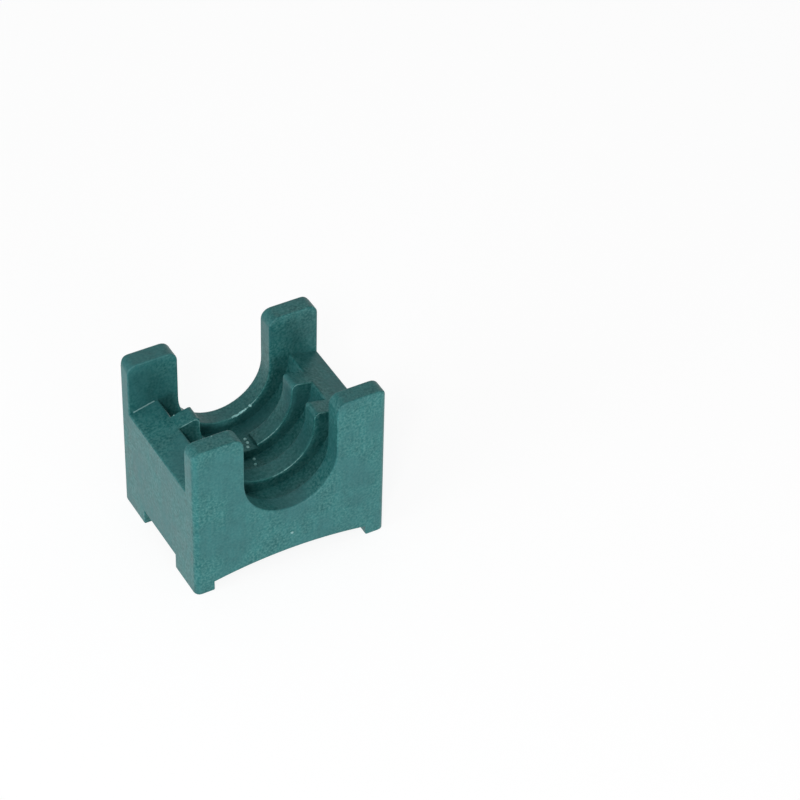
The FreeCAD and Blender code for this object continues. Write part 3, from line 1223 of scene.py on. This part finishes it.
@dataclass(kw_only=True)
class MouldPips(Moulding):
    """The small round pips that pins and gates of the mould leave, one at each place."""

    pip_radius: float = 0.32
    pip_height: float = 0.8
    rings: int = 8
    segments: int = 14

    def inputs(self) -> dict[str, object]:
        """Add the pips' height, as a share of their radius, to the inputs."""
        return super().inputs() | {"Pip Height": self.pip_height}

    def shape(self, graph: Graph) -> Wire:
        """Put a pip on each point.

        Args:
            graph: The tree under construction.

        Returns:
            The pips.
        """
        points = graph.get("GeometryNodeMeshToPoints", {"Mesh": graph["Geometry"]})
        ball = {name: graph[name] for name in ("Rings", "Segments")}
        ball = graph.get("GeometryNodeMeshUVSphere", ball | {"Radius": graph["Pip Radius"]})
        pip = graph.transform(ball, Scale=graph.point(1.0, 1.0, graph["Pip Height"]))
        return graph.get("GeometryNodeInstanceOnPoints", {"Points": points, "Instance": pip})


@dataclass(frozen=True)
class SoftBox:
    """A soft box of the studio: its place, its sides, its power and its tint."""

    place: Place
    width: float
    height: float
    power: float
    tint: Colour = WHITE

    def hang(self, name: str, target: Vector) -> None:
        """Hang the box so that it faces a target.

        Args:
            name: The lamp's name.
            target: The point that it faces, in millimetres.
        """
        lamp = bpy.data.lights.new(name, "AREA")
        lamp.shape = "RECTANGLE"
        lamp.size = self.width * MM
        lamp.size_y = self.height * MM
        lamp.energy = self.power
        lamp.color = self.tint
        made = bpy.data.objects.new(name, lamp)
        made.location = Vector(self.place) * MM
        made.rotation_euler = (target * MM - made.location).to_track_quat("-Z", "Y").to_euler()
        bpy.context.scene.collection.objects.link(made)


@dataclass
class Studio:
    """The pale floor, the white surroundings, the soft boxes and the camera."""

    floor_size: float = 6000.0
    floor_colour: Colour = (0.86, 0.865, 0.87)
    floor_cloud_colour: Colour = (0.9, 0.9, 0.9)
    floor_cloud_size: float = 60.0
    floor_roughness: float = 0.8
    floor_glow: float = 0.8
    floor_white: float = 1.1
    sky_light: float = 0.33
    lit_point: Place = (0.0, 0.0, 15.0)
    camera_place: Place = (-189.36, -378.20, 399.67)
    camera_azimuth: float = 30.178
    camera_elevation: float = 41.316
    camera_roll: float = 1.711
    camera_lens: float = 141.3
    sensor_width: float = 36.0
    nearest_seen: float = 10.0
    farthest_seen: float = 20000.0
    boxes: dict[Light, SoftBox] = field(
        default_factory=lambda: {
            Light.FRONT: SoftBox((0.0, -700.0, 60.0), 300.0, 110.0, 2.5, (1.0, 0.92, 0.92)),
            Light.LEFT: SoftBox((-700.0, -100.0, 130.0), 420.0, 420.0, 2.7, (0.9, 0.96, 1.0)),
            Light.TOP: SoftBox((60.0, 160.0, 800.0), 300.0, 300.0, 0.15),
            Light.SPARK: SoftBox((-280.0, -380.0, 430.0), 110.0, 110.0, 0.85),
        }
    )

    def build(self) -> None:
        """Build the floor, the surroundings, the lights and the camera."""
        self.floor()
        self.surroundings()
        for light, box in self.boxes.items():
            box.hang(light.value, Vector(self.lit_point))
        self.camera()
        bpy.context.scene.view_settings.view_transform = "Standard"

    def floor(self) -> None:
        half = self.floor_size / 2 * MM
        plane = new_object("floor")
        corners = [(-half, -half, 0), (half, -half, 0), (half, half, 0), (-half, half, 0)]
        plane.data.from_pydata(corners, [], [(0, 1, 2, 3)])
        plane.data.materials.append(self.floor_finish())

    def floor_finish(self) -> bpy.types.Material:
        """Build the floor's finish.

        Returns:
            The material, pale to the light and white where it is seen or mirrored.
        """
        made, graph, shader = new_finish("pale_floor")
        place = graph.get("ShaderNodeTexCoord", out="Object")
        sizes = {"Position": place, "Cloud Size": self.floor_cloud_size * MM}
        clouds = GrainGroup().use(graph, sizes)["Clouds"]
        tint = graph.mix(clouds, self.floor_colour, self.floor_cloud_colour)
        graph.feed(shader.inputs["Base Color"], tint)
        shader.inputs["Roughness"].default_value = self.floor_roughness
        rays = graph.wires("ShaderNodeLightPath")
        seen = graph.most(rays["Is Camera Ray"] * self.floor_glow, rays["Is Glossy Ray"])
        seen = graph.most(seen, rays["Is Transmission Ray"])
        glow = {"Color": (*WHITE, 1.0), "Strength": self.floor_white}
        glow = graph.get("ShaderNodeEmission", glow)
        mixed = {0: seen, 1: Wire(graph, shader.outputs[0]), 2: glow}
        mixed = graph.get("ShaderNodeMixShader", mixed)
        graph.feed(made.node_tree.nodes["Material Output"].inputs["Surface"], mixed)
        return made

    def surroundings(self) -> None:
        """Make the world white to the camera and a dimmer grey for the light."""
        world = bpy.data.worlds.new("surroundings")
        bpy.context.scene.world = world
        world.use_nodes = True
        graph = Graph(world.node_tree)
        shader = world.node_tree.nodes["Background"]
        rays = graph.wires("ShaderNodeLightPath")
        seen = graph.most(rays["Is Camera Ray"], rays["Is Glossy Ray"])
        seen = graph.most(seen, rays["Is Transmission Ray"])
        graph.feed(shader.inputs["Strength"], seen * (1.0 - self.sky_light) + self.sky_light)
        shader.inputs["Color"].default_value = (*WHITE, 1.0)

    def camera(self) -> None:
        """Set up the camera at the photograph's viewing angle and framing."""
        data = bpy.data.cameras.new("camera")
        data.lens = self.camera_lens
        data.sensor_width = self.sensor_width
        data.clip_start = self.nearest_seen * MM
        data.clip_end = self.farthest_seen * MM
        made = bpy.data.objects.new("camera", data)
        turn = Matrix.Rotation(-math.radians(self.camera_azimuth), 4, "Z")
        tilt = Matrix.Rotation(math.radians(90.0 - self.camera_elevation), 4, "X")
        roll = Matrix.Rotation(math.radians(self.camera_roll), 4, "Z")
        made.matrix_world = Matrix.Translation(Vector(self.camera_place) * MM) @ turn @ tilt @ roll
        bpy.context.scene.collection.objects.link(made)
        bpy.context.scene.camera = made


def main() -> None:
    """Build the saddle, its marks and the studio in order."""
    logging.basicConfig(level=logging.INFO, format="%(message)s")
    plastic = MouldedPlastic(
        name="green_plastic",
        deep=(0.005, 0.095, 0.094),
        pale=(0.02, 0.15, 0.148),
        hazed=(0.04, 0.15, 0.158),
        sparkle=(0.09, 0.265, 0.258),
    )
    # The beads' plastic is paler than the body: a painted highlight along the edges
    highlit_bead_plastic = MouldedPlastic(
        name="highlit_bead_plastic",
        deep=(0.012, 0.13, 0.12),
        pale=(0.035, 0.2, 0.19),
        hazed=(0.05, 0.19, 0.19),
        sparkle=(0.1, 0.32, 0.3),
        rubbed=(0.23, 0.5, 0.48),
        roughness=0.3,
        # Stretches painted paler still where the lamps' highlights fall: painted highlights
        scuffs=(
            Scuff(across=4.0, up=14.6, reach=4.5, share=1.0),
            Scuff(across=-12.0, up=24.6, reach=3.8, share=1.0),
            Scuff(across=9.9, up=25.3, reach=1.8, share=0.8),
        ),
    )
    # Stress-whitened plastic for the pips and the torn lip, made paler still as a painted
    # highlight
    whitened_and_highlit_plastic = MouldedPlastic(
        name="whitened_and_highlit_plastic",
        deep=(0.14, 0.42, 0.4),
        pale=(0.3, 0.68, 0.66),
        hazed=(0.36, 0.7, 0.69),
        sparkle=(0.6, 0.92, 0.9),
    )
    # Pale plastic for the junction beads, the face pip and the nibs: partly the marks' own pale
    # colour, partly a painted highlight
    paled_and_highlit_plastic = MouldedPlastic(
        name="paled_and_highlit_plastic",
        deep=(0.11, 0.26, 0.25),
        pale=(0.2, 0.37, 0.36),
        hazed=(0.2, 0.36, 0.36),
        sparkle=(0.3, 0.5, 0.49),
    )
    seat_pips = ((1.2, 5.75, 13.0), (1.17, 4.65, 13.0), (0.7, 3.55, 13.0))
    bay_pips = ((1.13, 1.86, 11.2), (0.69, 0.48, 11.17), (5.25, 11.5, 15.1))
    nibs = ((-12.8, 5.95, 24.46), (-13.92, -11.7, 33.95))
    seat_edge = {"start_angle": -80.0, "sweep_angle": 160.0, "lip_radius": 0.08, "unevenness": 0.0}
    torn_edge = {"start_angle": 9.0, "sweep_angle": 19.0, "lip_radius": 0.19, "unevenness": 0.5}
    pieces = (
        RibbedSaddle(finish=plastic),
        PartingBeads(finish=highlit_bead_plastic),
        SeatLip(finish=highlit_bead_plastic, name="seat_bead", **seat_edge),
        SeatLip(finish=whitened_and_highlit_plastic, name="scuffed_and_highlit_lip", **torn_edge),
        JunctionBeads(finish=paled_and_highlit_plastic),
        MouldPips(finish=whitened_and_highlit_plastic, name="cradle_pips", places=seat_pips + bay_pips),
        MouldPips(finish=paled_and_highlit_plastic, name="face_pip", places=((0.16, -14.95, 7.44),)),
        MouldPips(finish=paled_and_highlit_plastic, name="nibs", places=nibs, pip_radius=0.17),
    )
    for part in pieces:
        piece = part.build()
        LOG.info("%s: %d faces", piece.name, len(piece.data.polygons))
    Studio().build()
    LOG.info("studio is set")


if __name__ == "__main__":
    main()
